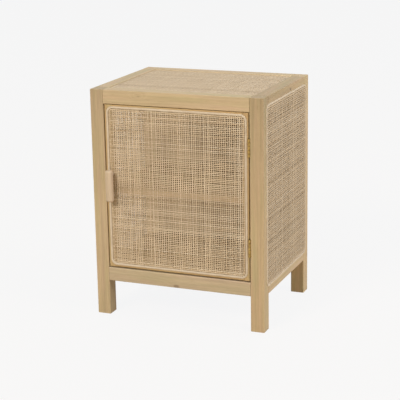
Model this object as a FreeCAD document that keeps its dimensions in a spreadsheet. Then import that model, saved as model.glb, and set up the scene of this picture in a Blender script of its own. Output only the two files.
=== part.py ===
import FreeCAD, Part
import math
import os
import re
import Sketcher

# Driving dimensions in millimetres, apart from the shares
sizes = {
    # Frame of posts and rails
    "cabinet_width": 450,
    "cabinet_depth": 350,
    "cabinet_height": 580,
    "leg_size": 35,
    "rail_size": 35,
    "floor_clearance": 90,
    "edge_radius": 2,
    "end_round_share": 0.7,
    "dowel_radius": 3,
    "dowel_length": 36,
    "upright_dowel_pitch": 18,
    "level_dowel_pitch": 12,
    # Cane webbing and the spline that holds it
    "webbing_thickness": 1,
    "webbing_strip_share": 0.55,
    "spline_width": 6,
    "spline_proud": 1.5,
    "spline_corner": 17,
    "spline_crown_share": 0.35,
    "spline_clearance": 0.1,
    "groove_depth": 6,
    "side_spline_inset": 19,
    "door_spline_inset": 4,
    # Top, floor, shelf and back
    "top_recess": 1.5,
    "top_board_thickness": 9,
    "floor_board_thickness": 12,
    "board_clearance": 0.5,
    "cleat_size": 12,
    "shelf_rise": 190,
    "shelf_thickness": 15,
    "shelf_clearance": 1,
    "shelf_setback": 4,
    "shelf_pin_radius": 2.5,
    "shelf_pin_depth": 14,
    "shelf_pin_reach": 9,
    "shelf_pin_inset": 6,
    "back_panel_thickness": 6,
    "back_rabbet": 10,
    # Door
    "door_hinge_gap": 3,
    "door_latch_gap": 1.5,
    "door_top_gap": 1.5,
    "door_bottom_gap": 3,
    "door_recess": 3,
    "door_thickness": 20,
    "door_hinge_stile_width": 15,
    "door_pull_stile_width": 21,
    "door_rail_width": 15,
    "door_edge_radius": 1.5,
    "door_dowel_radius": 2.5,
    "door_dowel_length": 24,
    "door_dowel_pitch": 7,
    # Butt hinges
    "hinge_length": 45,
    "hinge_end_distance": 84,
    "hinge_leaf_thickness": 1.5,
    "hinge_leaf_reach": 18,
    "hinge_play": 0.4,
    "knuckle_gap": 0.2,
    "hinge_pin_radius": 1.25,
    "hinge_pin_clearance": 0.05,
    "hinge_screw_pitch": 26,
    "hinge_screw_share": 0.68,
    # Handle
    "handle_length": 80,
    "handle_width": 19,
    "handle_thickness": 16,
    "handle_corner": 7.6,
    "handle_standoff": 11,
    "handle_inset": 16.5,
    "handle_rise": 6.5,
    "handle_post_radius": 4.5,
    "handle_post_pitch": 54,
    # Magnetic catch
    "catch_width": 40,
    "catch_depth": 14,
    "catch_height": 12,
    "catch_inset": 70,
    "catch_gap": 0.3,
    "catch_screw_pitch": 31,
    "magnet_width": 24,
    "magnet_depth": 8,
    "magnet_height": 8,
    "strike_width": 30,
    "strike_height": 10,
    "strike_thickness": 1.5,
    # Screws and nails
    "hinge_screw_radius": 1.25,
    "hinge_screw_head_radius": 2.4,
    "hinge_screw_head_height": 1.2,
    "hinge_screw_length": 12,
    "cleat_screw_radius": 1.75,
    "cleat_screw_head_radius": 3.5,
    "cleat_screw_head_height": 2,
    "cleat_screw_length": 28,
    "handle_screw_radius": 2,
    "handle_screw_head_radius": 4,
    "handle_screw_head_height": 2.4,
    "handle_screw_length": 30,
    "catch_screw_radius": 1.25,
    "catch_screw_head_radius": 2.5,
    "catch_screw_head_height": 1.5,
    "catch_screw_length": 20,
    "strike_screw_radius": 1.25,
    "strike_screw_head_radius": 2.4,
    "strike_screw_head_height": 1.2,
    "strike_screw_length": 12,
    "nail_radius": 0.7,
    "nail_head_radius": 1.6,
    "nail_head_height": 1,
    "nail_length": 16,
    "pan_head_share": 0.7,
    # Every cut runs this far past the face that it opens
    "cut_overrun": 2,
}

# Counts, and places along a nailed edge or a cleat from end to end
knuckle_count = 5
gaps_upward = 12
nail_shares = (0.2, 0.5, 0.8)
cleat_screw_shares = (0.2, 0.8)

# Places and lengths worked out from the driving dimensions
places = {
    "handle_reach": "webbing_thickness + handle_standoff + handle_thickness - door_recess",
    "half_width": "cabinet_width / 2",
    "front": "(handle_reach - cabinet_depth) / 2",
    "back": "front + cabinet_depth",
    "middle": "(front + back) / 2",
    "stock_size": "max(leg_size; rail_size)",
    "leg_x": "half_width - leg_size / 2",
    "rail_x": "half_width - rail_size / 2",
    "side_rail_length": "cabinet_depth - 2 * leg_size",
    # Opening between the posts and the rails
    "opening_x": "half_width - leg_size",
    "opening_bottom": "floor_clearance + rail_size",
    "opening_top": "cabinet_height - rail_size",
    # Space between the rails for the boards
    "board_x": "half_width - stock_size - board_clearance",
    "board_front": "front + stock_size + board_clearance",
    "board_back": "back - stock_size - board_clearance",
    "board_depth": "board_back - board_front",
    "cleat_x": "half_width - rail_size",
    "top_board_top": "cabinet_height - top_recess - webbing_thickness",
    "top_board_bottom": "top_board_top - top_board_thickness",
    "floor_board_bottom": "opening_bottom - floor_board_thickness",
    "shelf_bottom": "opening_bottom + shelf_rise",
    "shelf_pin_z": "shelf_bottom - shelf_pin_radius",
    "panel_front": "back - back_panel_thickness",
    "rabbet_x": "opening_x + back_rabbet",
    "rabbet_bottom": "opening_bottom - back_rabbet",
    "rabbet_top": "opening_top + back_rabbet",
    # Side spline, to its outer edge
    "side_middle": "(floor_clearance + cabinet_height) / 2",
    "side_spline_wide": "cabinet_depth - 2 * side_spline_inset",
    "side_spline_high": "cabinet_height - floor_clearance - 2 * side_spline_inset",
    # Door and its spline
    "door_left": "door_latch_gap - opening_x",
    "door_right": "opening_x - door_hinge_gap",
    "door_x": "(door_left + door_right) / 2",
    "door_bottom": "opening_bottom + door_bottom_gap",
    "door_top": "opening_top - door_top_gap",
    "door_middle": "(door_bottom + door_top) / 2",
    "door_front": "front + door_recess",
    "door_back": "door_front + door_thickness",
    "door_centre": "(door_front + door_back) / 2",
    "door_window_left": "door_left + door_pull_stile_width",
    "door_window_right": "door_right - door_hinge_stile_width",
    "door_spline_wide": "door_right - door_left - 2 * door_spline_inset",
    "door_spline_high": "door_top - door_bottom - 2 * door_spline_inset",
    # Hinge axis, in the gap and just proud of the door
    "barrel_radius": "hinge_leaf_thickness + door_hinge_gap / 2",
    "barrel_room": "barrel_radius + hinge_play",
    "hinge_x": "opening_x - door_hinge_gap / 2",
    "hinge_y": "door_front - barrel_radius",
    "leaf_back": "hinge_y + hinge_leaf_reach",
    "hinge_screw_y": "hinge_y + hinge_screw_share * hinge_leaf_reach",
    "knuckle_pitch": f"hinge_length / {knuckle_count}",
    # Handle, on the face of the webbing
    "handle_x": "door_left + handle_inset",
    "handle_middle": "door_middle + handle_rise",
    "handle_seat": "door_front - webbing_thickness",
    "handle_back": "handle_seat - handle_standoff",
    # Catch, under the front top rail
    "catch_x": "catch_inset - opening_x",
    "catch_front": "door_back + strike_thickness + catch_gap",
    "catch_bottom": "opening_top - catch_height",
    "magnet_bottom": "opening_top - (catch_height + magnet_height) / 2",
}

up = FreeCAD.Vector(0, 0, 1)
down = FreeCAD.Vector(0, 0, -1)
left = FreeCAD.Vector(-1, 0, 0)
right = FreeCAD.Vector(1, 0, 0)
frontward = FreeCAD.Vector(0, -1, 0)
backward = FreeCAD.Vector(0, 1, 0)
signs = {"left": "-1", "right": "1"}

doc = FreeCAD.newDocument("StorageSideTable")
sheet = doc.addObject("Spreadsheet::Sheet", "Sizes")
for row, (name, value) in enumerate(sizes.items(), start=1):
    sheet.set(f"A{row}", name)
    sheet.set(f"B{row}", str(value))
    sheet.setAlias(f"B{row}", name)
doc.recompute()

pieces = {}


def formula(text):
    # Spells the named places out as cells of the sheet
    def spelled(match):
        word = match.group()
        if word in places:
            return f"({formula(places[word])})"
        return f"Sizes.{word}" if word in sizes else word

    return re.sub(r"[a-z]\w*", spelled, text)


def length_of(text):
    return float(sheet.evalExpression(formula(text)))


def bind(item, **formulas):
    for prop, text in formulas.items():
        path = f"Placement.Base.{prop}" if prop in ("x", "y", "z") else prop
        item.setExpression(path, formula(text))
    return item


def keep(label, item):
    # Names a finished piece and puts it on the list to be written
    item.Label = label
    pieces[label] = item
    return item


# Solids that the pieces are made of


def block(name, across, deep, upward):
    # A box between two places each way
    item = doc.addObject("Part::Box", name)
    bind(item, x=across[0], y=deep[0], z=upward[0])
    bind(item, Length=f"{across[1]} - ({across[0]})")
    bind(item, Width=f"{deep[1]} - ({deep[0]})")
    return bind(item, Height=f"{upward[1]} - ({upward[0]})")


def rod(name, radius, length, direction, x, y, z):
    item = doc.addObject("Part::Cylinder", name)
    item.Placement.Rotation = FreeCAD.Rotation(up, direction)
    return bind(item, Radius=radius, Height=length, x=x, y=y, z=z)


def fastener(kind, name, direction, x, y, z, sunk=True):
    # A shank and a head that is sunk flush with the face or stands on it
    shank = rod(f"{name}_shank", f"{kind}_radius", f"{kind}_length", up, "0", "0", "0")
    head = doc.addObject("Part::Cone", f"{name}_head")
    head.Placement.Rotation = FreeCAD.Rotation(up, up if sunk else down)
    bind(head, Height=f"{kind}_head_height", Radius1=f"{kind}_head_radius")
    bind(head, Radius2=f"{kind}_radius" if sunk else f"{kind}_head_radius * pan_head_share")
    item = doc.addObject("Part::Fuse", name)
    item.Base = shank
    item.Tool = head
    item.Placement.Rotation = FreeCAD.Rotation(up, direction)
    return bind(item, x=x, y=y, z=z)


def rounded_outline(sketch, wide, high, corner):
    # A rounded rectangle centred on the sketch and held by its three sizes
    x = length_of(wide) / 2
    y = length_of(high) / 2
    radius = length_of(corner)
    inner_x = x - radius
    inner_y = y - radius
    point = FreeCAD.Vector
    quarter = math.pi / 2
    first = sketch.GeometryCount
    sides = (
        ((-inner_x, -y), (inner_x, -y)),
        ((x, -inner_y), (x, inner_y)),
        ((inner_x, y), (-inner_x, y)),
        ((-x, inner_y), (-x, -inner_y)),
    )
    centres = ((inner_x, -inner_y), (inner_x, inner_y), (-inner_x, inner_y), (-inner_x, -inner_y))
    for start, end in sides:
        sketch.addGeometry(Part.LineSegment(point(*start), point(*end)), False)
    for turn, centre in enumerate(centres):
        circle = Part.Circle(point(*centre), up, radius)
        angle = quarter * (turn - 1)
        sketch.addGeometry(Part.ArcOfCircle(circle, angle, angle + quarter), False)
    lines = range(first, first + len(sides))
    arcs = range(first + len(sides), first + 2 * len(sides))
    for turn, (line, arc) in enumerate(zip(lines, arcs)):
        following = lines[(turn + 1) % len(sides)]
        sketch.addConstraint(Sketcher.Constraint("Tangent", line, 2, arc, 1))
        sketch.addConstraint(Sketcher.Constraint("Tangent", arc, 2, following, 1))
        sketch.addConstraint(Sketcher.Constraint("Vertical" if turn % 2 else "Horizontal", line))
    for arc in arcs[1:]:
        sketch.addConstraint(Sketcher.Constraint("Equal", arcs[0], arc))
    sketch.addConstraint(Sketcher.Constraint("Symmetric", arcs[0], 3, arcs[2], 3, -1, 1))
    measures = (
        ("wide", wide, Sketcher.Constraint("DistanceX", lines[3], 1, lines[1], 1, 2 * x)),
        ("high", high, Sketcher.Constraint("DistanceY", lines[0], 1, lines[2], 1, 2 * y)),
        ("corner", corner, Sketcher.Constraint("Radius", arcs[0], radius)),
    )
    for measure, text, constraint in measures:
        index = sketch.addConstraint(constraint)
        sketch.renameConstraint(index, f"{measure}_{first}")
        sketch.setExpression(f"Constraints.{measure}_{first}", formula(text))


def pad(body, role, outlines, length, backwards=False):
    # Pads rounded outlines, each inside the last, off one of the body's own planes
    sketch = body.newObject("Sketcher::SketchObject", f"{body.Name}_outline")
    plane = next(item for item in body.Origin.OriginFeatures if item.Role == role)
    sketch.AttachmentSupport = (plane, [""])
    sketch.MapMode = "FlatFace"
    for outline in outlines:
        rounded_outline(sketch, *outline)
    item = body.newObject("PartDesign::Pad", f"{body.Name}_pad")
    item.Profile = sketch
    item.Reversed = backwards
    bind(item, Length=length)
    doc.recompute()
    return item


def round_ends(body, directions, radius):
    # Rounds the edges of the flat faces that lie furthest in the given directions
    item = body.Tip
    faces = item.Shape.Faces
    flat = [index for index, face in enumerate(faces) if face.Surface.TypeId == "Part::GeomPlane"]
    ends = []
    for direction in directions:
        end = max(flat, key=lambda index: faces[index].CenterOfMass.dot(direction))
        ends.append(f"Face{end + 1}")
    fillet = body.newObject("PartDesign::Fillet", f"{body.Name}_fillet")
    fillet.Base = (item, ends)
    bind(fillet, Radius=radius)
    doc.recompute()


def bar(name, role, section, length, x, y, z):
    # A length of stock with rounded long edges, off the plane that its section lies in
    body = doc.addObject("PartDesign::Body", name)
    pad(body, role, [section], length)
    return bind(body, x=x, y=y, z=z)


def group(name, items):
    item = doc.addObject("Part::Compound", name)
    item.Links = items
    return item


def fuse(name, items):
    item = doc.addObject("Part::MultiFuse", name)
    item.Shapes = items
    return item


def cut(item, *tools):
    for tool in tools:
        result = doc.addObject("Part::Cut", f"{item.Name}_cut")
        result.Base = item
        result.Tool = tool
        item = result
    return item


# Dowels at the ends of the rails


def frame_dowels():
    dowels = []
    for level in ("floor_clearance + rail_size / 2", "cabinet_height - rail_size / 2"):
        for y in ("front + rail_size / 2", "back - rail_size / 2"):
            for end in signs.values():
                for step in signs.values():
                    x = f"{end} * opening_x - dowel_length / 2"
                    z = f"{level} + {step} * upright_dowel_pitch / 2"
                    dowels.append(rod("frame_dowel", "dowel_radius", "dowel_length", right, x, y, z))
        for side in signs.values():
            for y in ("front + leg_size", "back - leg_size"):
                for step in signs.values():
                    x = f"{side} * rail_x + {step} * level_dowel_pitch / 2"
                    start = f"{y} - dowel_length / 2"
                    dowels.append(
                        rod("frame_dowel", "dowel_radius", "dowel_length", backward, x, start, level)
                    )
    return group("frame_dowel_group", dowels)


def door_dowels():
    dowels = []
    for rail in ("door_bottom + door_rail_width / 2", "door_top - door_rail_width / 2"):
        for end in ("door_window_left", "door_window_right"):
            for step in signs.values():
                x = f"{end} - door_dowel_length / 2"
                z = f"{rail} + {step} * door_dowel_pitch / 2"
                dowels.append(
                    rod("door_dowel", "door_dowel_radius", "door_dowel_length", right, x, "door_centre", z)
                )
    return group("door_dowel_group", dowels)


# Caned panels: a groove in the frame, webbing tucked into it and a spline on top


def offset(outline, distance):
    # The same outline set outward by a distance, or inward by a negative one
    wide, high, corner = outline
    return f"{wide} + 2 * ({distance})", f"{high} + 2 * ({distance})", f"{corner} + ({distance})"


def caned_panel(name, role, wide, high, backwards, face, bed):
    rim = (wide, high, "spline_corner")
    loose = offset(rim, "spline_clearance")
    seat = offset(rim, "-spline_width")
    lip = offset(seat, "-webbing_thickness")

    groove = doc.addObject("PartDesign::Body", f"{name}_groove")
    pad(groove, role, [loose, lip], "groove_depth + cut_overrun", backwards)
    bind(groove, **bed)

    spline = doc.addObject("PartDesign::Body", f"{name}_spline_body")
    ring = pad(spline, role, [rim, seat], "groove_depth + spline_proud", backwards)
    # The ring's centre lies straight out from the bed
    outward = ring.Shape.CenterOfMass
    round_ends(spline, [outward], "spline_width * spline_crown_share")
    bind(spline, **bed)

    webbing = doc.addObject("PartDesign::Body", f"{name}_webbing_body")
    pad(webbing, role, [seat], "webbing_thickness", backwards)
    pad(webbing, role, [seat, lip], "groove_depth", not backwards)
    bind(webbing, **face)
    return groove, webbing, spline


def slots(name, window, axis, count):
    # Blocks side by side through the window, with a strip of webbing between each two
    start, end = window[axis]
    step = f"({end} - ({start})) / {count}"
    items = []
    for turn in range(count):
        edges = (f"{turn} + webbing_strip_share / 2", f"{turn + 1} - webbing_strip_share / 2")
        ends = tuple(f"{start} + ({edge}) * {step}" for edge in edges)
        items.append(block(name, *{**window, axis: ends}.values()))
    return group(f"{name}_group", items)


def gap_grid(name, window, axis):
    # Gaps where the slots cross, a plain grid in place of the fine open weave
    spans = {way: length_of(f"{end} - ({start})") for way, (start, end) in window.items()}
    item = doc.addObject("Part::Common", name)
    item.Base = slots(f"{name}_upright", window, axis, round(gaps_upward * spans[axis] / spans["z"]))
    item.Tool = slots(f"{name}_level", window, "z", gaps_upward)
    return item


def side_panel(side):
    sign = signs[side]
    face = {"x": f"{sign} * half_width", "y": "middle", "z": "side_middle"}
    bed = {"x": f"{sign} * (half_width - groove_depth)", "y": "middle", "z": "side_middle"}
    groove, webbing, spline = caned_panel(
        side, "YZ_Plane", "side_spline_wide", "side_spline_high", side == "left", face, bed
    )
    skin = {
        "left": ("-half_width - webbing_thickness - cut_overrun", "cut_overrun - half_width"),
        "right": ("half_width - cut_overrun", "half_width + webbing_thickness + cut_overrun"),
    }
    window = {
        "x": skin[side],
        "y": ("front + leg_size", "back - leg_size"),
        "z": ("opening_bottom", "opening_top"),
    }
    keep(f"{side}_webbing", cut(webbing, gap_grid(f"{side}_gap", window, "y")))
    keep(f"{side}_spline", spline)
    return groove


# Top, floor, shelf and back


def inner_boards():
    across = ("-board_x", "board_x")
    deep = ("board_front", "board_back")
    keep("top_board", block("top_board_block", across, deep, ("top_board_bottom", "top_board_top")))
    skin = ("top_board_top", "top_board_top + webbing_thickness")
    keep("top_webbing", block("top_webbing_block", across, deep, skin))
    keep("floor_board", block("floor_board_block", across, deep, ("floor_board_bottom", "opening_bottom")))
    shelf_across = ("shelf_clearance - opening_x", "opening_x - shelf_clearance")
    shelf_deep = ("door_back + shelf_setback", "panel_front - shelf_clearance")
    shelf_up = ("shelf_bottom", "shelf_bottom + shelf_thickness")
    keep("shelf", block("shelf_block", shelf_across, shelf_deep, shelf_up))


def cleats():
    tops = {"top": "top_board_bottom", "floor": "floor_board_bottom"}
    edges = {"left": ("-cleat_x", "cleat_size - cleat_x"), "right": ("cleat_x - cleat_size", "cleat_x")}
    heads = {"left": ("cleat_size - cleat_x", left), "right": ("cleat_x - cleat_size", right)}
    blocks = {}
    screws = []
    for level, top in tops.items():
        for side, across in edges.items():
            name = f"{side}_{level}_cleat"
            upward = (f"{top} - cleat_size", top)
            blocks[name] = block(f"{name}_block", across, ("board_front", "board_back"), upward)
            x, direction = heads[side]
            for share in cleat_screw_shares:
                y = f"board_front + {share} * board_depth"
                z = f"{top} - cleat_size / 2"
                screws.append(fastener("cleat_screw", f"{name}_screw", direction, x, y, z))
    screw_group = keep("cleat_screws", group("cleat_screw_group", screws))
    for name, item in blocks.items():
        keep(name, cut(item, screw_group))
    return screw_group


def shelf_pins():
    length = "shelf_pin_depth + shelf_pin_reach"
    starts = {"left": "-opening_x - shelf_pin_depth", "right": "opening_x - shelf_pin_reach"}
    pins = []
    for x in starts.values():
        for y in ("front + leg_size - shelf_pin_inset", "back - leg_size / 2"):
            pins.append(rod("shelf_pin", "shelf_pin_radius", length, right, x, y, "shelf_pin_z"))
    return keep("shelf_pins", group("shelf_pin_group", pins))


def back_panel():
    # The rabbet round the opening is the panel's room; the panel is smaller by its clearance
    across = ("-rabbet_x", "rabbet_x")
    upward = ("rabbet_bottom", "rabbet_top")
    rabbet = block("back_rabbet_block", across, ("panel_front", "back + cut_overrun"), upward)
    panel = block(
        "back_panel_block",
        ("board_clearance - rabbet_x", "rabbet_x - board_clearance"),
        ("panel_front", "back"),
        ("rabbet_bottom + board_clearance", "rabbet_top - board_clearance"),
    )
    nails = []
    for share in nail_shares:
        for sign in signs.values():
            x = f"{sign} * (opening_x + back_rabbet / 2)"
            z = f"opening_bottom + {share} * (opening_top - opening_bottom)"
            nails.append(fastener("nail", "back_nail", frontward, x, "back", z))
        for z in ("opening_bottom - back_rabbet / 2", "opening_top + back_rabbet / 2"):
            x = f"({share} * 2 - 1) * opening_x"
            nails.append(fastener("nail", "back_nail", frontward, x, "back", z))
    nail_group = keep("back_panel_nails", group("back_nail_group", nails))
    keep("back_panel", cut(panel, nail_group))
    return rabbet, nail_group


# Butt hinges


hinge_heights = {
    "upper": "(door_top - hinge_end_distance)",
    "lower": "(door_bottom + hinge_end_distance)",
}
leaf_edges = {
    "frame": ("opening_x", "opening_x + hinge_leaf_thickness"),
    "door": ("door_right - hinge_leaf_thickness", "door_right"),
}


def hinge_screws(owner):
    x = {"frame": "opening_x", "door": "door_right"}[owner]
    direction = {"frame": right, "door": left}[owner]
    screws = []
    for height in hinge_heights.values():
        for step in signs.values():
            z = f"{height} + {step} * hinge_screw_pitch / 2"
            screws.append(fastener("hinge_screw", f"{owner}_hinge_screw", direction, x, "hinge_screw_y", z))
    return keep(f"hinge_{owner}_screws", group(f"hinge_{owner}_screw_group", screws))


def hinge_leaf(level, owner, screws):
    # A flat plate with every second knuckle rolled from it
    height = hinge_heights[level]
    name = f"{level}_hinge_{owner}_leaf"
    ends = (f"{height} - hinge_length / 2", f"{height} + hinge_length / 2")
    edges = leaf_edges[owner]
    solids = [block(f"{name}_plate", edges, ("hinge_y + barrel_room", "leaf_back"), ends)]
    for turn in range(0 if owner == "frame" else 1, knuckle_count, 2):
        low = f"{ends[0]} + {turn} * knuckle_pitch + knuckle_gap / 2"
        tall = "knuckle_pitch - knuckle_gap"
        strap_ends = (low, f"{low} + {tall}")
        solids.append(block(f"{name}_strap", edges, ("hinge_y", "hinge_y + barrel_room"), strap_ends))
        solids.append(rod(f"{name}_knuckle", "barrel_radius", tall, up, "hinge_x", "hinge_y", low))
    bore_radius = "hinge_pin_radius + hinge_pin_clearance"
    bore = rod(f"{name}_bore", bore_radius, "hinge_length", up, "hinge_x", "hinge_y", ends[0])
    keep(name, cut(fuse(f"{name}_solid", solids), bore, screws))


def hinge_pin(level):
    low = f"{hinge_heights[level]} - hinge_length / 2"
    pin = rod(f"{level}_pin", "hinge_pin_radius", "hinge_length", up, "hinge_x", "hinge_y", low)
    keep(f"{level}_hinge_pin", pin)


def hinge_mortises(owner):
    # Pockets for the leaves, with room round the barrel on the post
    tools = []
    for height in hinge_heights.values():
        upward = (f"{height} - hinge_length / 2", f"{height} + hinge_length / 2")
        deep = ("hinge_y - barrel_room", "leaf_back")
        if owner == "door":
            across = ("door_right - hinge_leaf_thickness", "door_right + cut_overrun")
            tools.append(block("door_mortise", across, deep, upward))
            continue
        across = ("opening_x - cut_overrun", "opening_x + hinge_leaf_thickness")
        tools.append(block("frame_mortise", across, deep, upward))
        relief = ("opening_x - cut_overrun", "opening_x + hinge_leaf_thickness + hinge_play")
        barrel = ("hinge_y - barrel_room", "hinge_y + barrel_room")
        tools.append(block("barrel_relief", relief, barrel, upward))
    return tools


# Handle


def handle():
    body = bar(
        "handle_bar_body",
        "XY_Plane",
        ("handle_width", "handle_thickness", "handle_corner"),
        "handle_length",
        "handle_x",
        "handle_back - handle_thickness / 2",
        "handle_middle - handle_length / 2",
    )
    round_ends(body, [up, down], "handle_corner * end_round_share")
    keep("handle_bar", body)
    screws = []
    posts = {}
    for level, sign in (("lower", "-1"), ("upper", "1")):
        z = f"handle_middle + {sign} * handle_post_pitch / 2"
        post = rod(
            f"{level}_post", "handle_post_radius", "handle_standoff", frontward, "handle_x", "handle_seat", z
        )
        posts[f"handle_{level}_post"] = post
        screws.append(
            fastener("handle_screw", "handle_screw", frontward, "handle_x", "door_back", z, sunk=False)
        )
    screw_group = keep("handle_screws", group("handle_screw_group", screws))
    for name, post in posts.items():
        keep(name, cut(post, screw_group))
    return screw_group


# Magnetic catch


def catch():
    back_edge = "catch_front + catch_depth"
    housing = block(
        "catch_block",
        ("catch_x - catch_width / 2", "catch_x + catch_width / 2"),
        ("catch_front", back_edge),
        ("catch_bottom", "opening_top"),
    )
    magnet = block(
        "magnet_block",
        ("catch_x - magnet_width / 2", "catch_x + magnet_width / 2"),
        ("catch_front", "catch_front + magnet_depth"),
        ("magnet_bottom", "magnet_bottom + magnet_height"),
    )
    screws = []
    for sign in signs.values():
        x = f"catch_x + {sign} * catch_screw_pitch / 2"
        y = "catch_front + catch_depth / 2"
        screws.append(fastener("catch_screw", "catch_screw", up, x, y, "catch_bottom"))
    screw_group = keep("catch_screws", group("catch_screw_group", screws))
    keep("catch_magnet", magnet)
    keep("catch_housing", cut(housing, magnet, screw_group))
    return screw_group


def strike():
    plate = block(
        "strike_block",
        ("catch_x - strike_width / 2", "catch_x + strike_width / 2"),
        ("door_back", "door_back + strike_thickness"),
        ("door_top - strike_height", "door_top"),
    )
    y = "door_back + strike_thickness"
    z = "door_top - strike_height / 2"
    screw = keep("strike_screw", fastener("strike_screw", "strike_fastener", frontward, "catch_x", y, z))
    keep("strike_plate", cut(plate, screw))
    return screw


# Posts and rails of the frame


def legs(tools):
    section = ("leg_size", "leg_size", "edge_radius")
    for end, y in (("front", "front + leg_size / 2"), ("back", "back - leg_size / 2")):
        for side, sign in signs.items():
            name = f"{end}_{side}_leg"
            body = bar(f"{name}_post", "XY_Plane", section, "cabinet_height", f"{sign} * leg_x", y, "0")
            round_ends(body, [up], "edge_radius * end_round_share")
            keep(name, cut(body, *tools[name]))


def rails(tools):
    section = ("rail_size", "rail_size", "edge_radius")
    levels = {"top": "cabinet_height - rail_size / 2", "bottom": "floor_clearance + rail_size / 2"}
    depths = {"front": "front + rail_size / 2", "back": "back - rail_size / 2"}
    for level, z in levels.items():
        for end, y in depths.items():
            name = f"{end}_{level}_rail"
            body = bar(f"{name}_stock", "YZ_Plane", section, "2 * opening_x", "-opening_x", y, z)
            keep(name, cut(body, *tools[name]))
        for side, sign in signs.items():
            name = f"{side}_{level}_rail"
            x = f"{sign} * rail_x"
            body = bar(f"{name}_stock", "XZ_Plane", section, "side_rail_length", x, "back - leg_size", z)
            keep(name, cut(body, *tools[name]))


# Stiles and rails of the door


def door_frame(tools):
    level = ("door_thickness", "door_rail_width", "door_edge_radius")
    stiles = {
        "left": ("door_pull_stile_width", "door_left + door_pull_stile_width / 2"),
        "right": ("door_hinge_stile_width", "door_right - door_hinge_stile_width / 2"),
    }
    for side, (width, x) in stiles.items():
        name = f"door_{side}_stile"
        upright = (width, "door_thickness", "door_edge_radius")
        length = "door_top - door_bottom"
        body = bar(f"{name}_stock", "XY_Plane", upright, length, x, "door_centre", "door_bottom")
        keep(name, cut(body, *tools[name]))
    heights = {"top": "door_top - door_rail_width / 2", "bottom": "door_bottom + door_rail_width / 2"}
    for end, z in heights.items():
        name = f"door_{end}_rail"
        start = "door_window_left"
        body = bar(f"{name}_stock", "YZ_Plane", level, f"door_window_right - {start}", start, "door_centre", z)
        keep(name, cut(body, *tools[name]))


dowels = keep("frame_dowels", frame_dowels())
side_grooves = {side: side_panel(side) for side in signs}
inner_boards()
cleat_screws = cleats()
pins = shelf_pins()
rabbet, nails = back_panel()
catch_screws = catch()
frame_hinge_screws = hinge_screws("frame")
door_hinge_screws = hinge_screws("door")
for level in hinge_heights:
    hinge_leaf(level, "frame", frame_hinge_screws)
    hinge_leaf(level, "door", door_hinge_screws)
    hinge_pin(level)

hinge_cuts = [*hinge_mortises("frame"), frame_hinge_screws]
legs(
    {
        "front_left_leg": [dowels, side_grooves["left"], pins],
        "front_right_leg": [dowels, side_grooves["right"], pins, *hinge_cuts],
        "back_left_leg": [dowels, side_grooves["left"], pins, rabbet, nails],
        "back_right_leg": [dowels, side_grooves["right"], pins, rabbet, nails],
    }
)
rails(
    {
        "front_top_rail": [dowels, catch_screws],
        "front_bottom_rail": [dowels],
        "back_top_rail": [dowels, rabbet, nails],
        "back_bottom_rail": [dowels, rabbet, nails],
        "left_top_rail": [dowels, side_grooves["left"], cleat_screws],
        "left_bottom_rail": [dowels, side_grooves["left"], cleat_screws],
        "right_top_rail": [dowels, side_grooves["right"], cleat_screws],
        "right_bottom_rail": [dowels, side_grooves["right"], cleat_screws],
    }
)

door_pegs = keep("door_dowels", door_dowels())
door_groove, door_webbing, door_spline = caned_panel(
    "door",
    "XZ_Plane",
    "door_spline_wide",
    "door_spline_high",
    False,
    {"x": "door_x", "y": "door_front", "z": "door_middle"},
    {"x": "door_x", "y": "door_front + groove_depth", "z": "door_middle"},
)
handle_screws = handle()
strike_screw = strike()
door_window = {
    "x": ("door_window_left", "door_window_right"),
    "y": ("door_front - webbing_thickness - cut_overrun", "door_front + cut_overrun"),
    "z": ("door_bottom + door_rail_width", "door_top - door_rail_width"),
}
keep("door_webbing", cut(door_webbing, handle_screws, gap_grid("door_gap", door_window, "x")))
keep("door_spline", door_spline)
door_frame(
    {
        "door_left_stile": [door_pegs, door_groove, handle_screws],
        "door_right_stile": [door_pegs, door_groove, *hinge_mortises("door"), door_hinge_screws],
        "door_top_rail": [door_pegs, door_groove, strike_screw],
        "door_bottom_rail": [door_pegs, door_groove],
    }
)

doc.recompute()
for item in doc.Objects:
    if "Invalid" in item.State or "Error" in item.State:
        raise RuntimeError(f"{item.Label} did not compute")
    if item.TypeId == "Part::Cut" and item.Shape.Volume >= item.Base.Shape.Volume:
        raise RuntimeError(f"{item.Label} removed nothing")
for label, item in pieces.items():
    if item.Shape.isNull() or not item.Shape.isValid():
        raise RuntimeError(f"{label} has no valid shape")

os.makedirs("parts", exist_ok=True)
for label, item in pieces.items():
    item.Shape.exportStep(f"parts/{label}.step")
    box = item.Shape.optimalBoundingBox()
    spans = f"{box.XLength:.1f} x {box.YLength:.1f} x {box.ZLength:.1f}"
    print(f"{label}: {len(item.Shape.Solids)} solid, {spans}")
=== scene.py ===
import bmesh
import bpy
import math
import random
from mathutils import Matrix, Quaternion, Vector, noise


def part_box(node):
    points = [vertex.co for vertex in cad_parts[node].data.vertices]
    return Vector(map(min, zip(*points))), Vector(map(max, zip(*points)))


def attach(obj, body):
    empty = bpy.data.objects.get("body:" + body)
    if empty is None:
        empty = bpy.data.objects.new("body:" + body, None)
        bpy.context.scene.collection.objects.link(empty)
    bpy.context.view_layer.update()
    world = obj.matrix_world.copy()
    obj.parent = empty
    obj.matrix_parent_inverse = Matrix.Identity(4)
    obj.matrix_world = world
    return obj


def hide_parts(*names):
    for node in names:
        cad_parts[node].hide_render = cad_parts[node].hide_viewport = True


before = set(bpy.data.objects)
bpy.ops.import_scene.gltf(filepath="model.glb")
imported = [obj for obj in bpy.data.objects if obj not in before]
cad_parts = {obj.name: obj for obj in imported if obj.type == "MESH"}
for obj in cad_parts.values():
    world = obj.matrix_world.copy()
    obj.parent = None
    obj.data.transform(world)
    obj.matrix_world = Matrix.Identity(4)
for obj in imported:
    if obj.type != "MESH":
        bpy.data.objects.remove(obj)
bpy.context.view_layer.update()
print("frame loaded with", len(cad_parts), "nodes")

# Camera, where the photo was taken from

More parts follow.
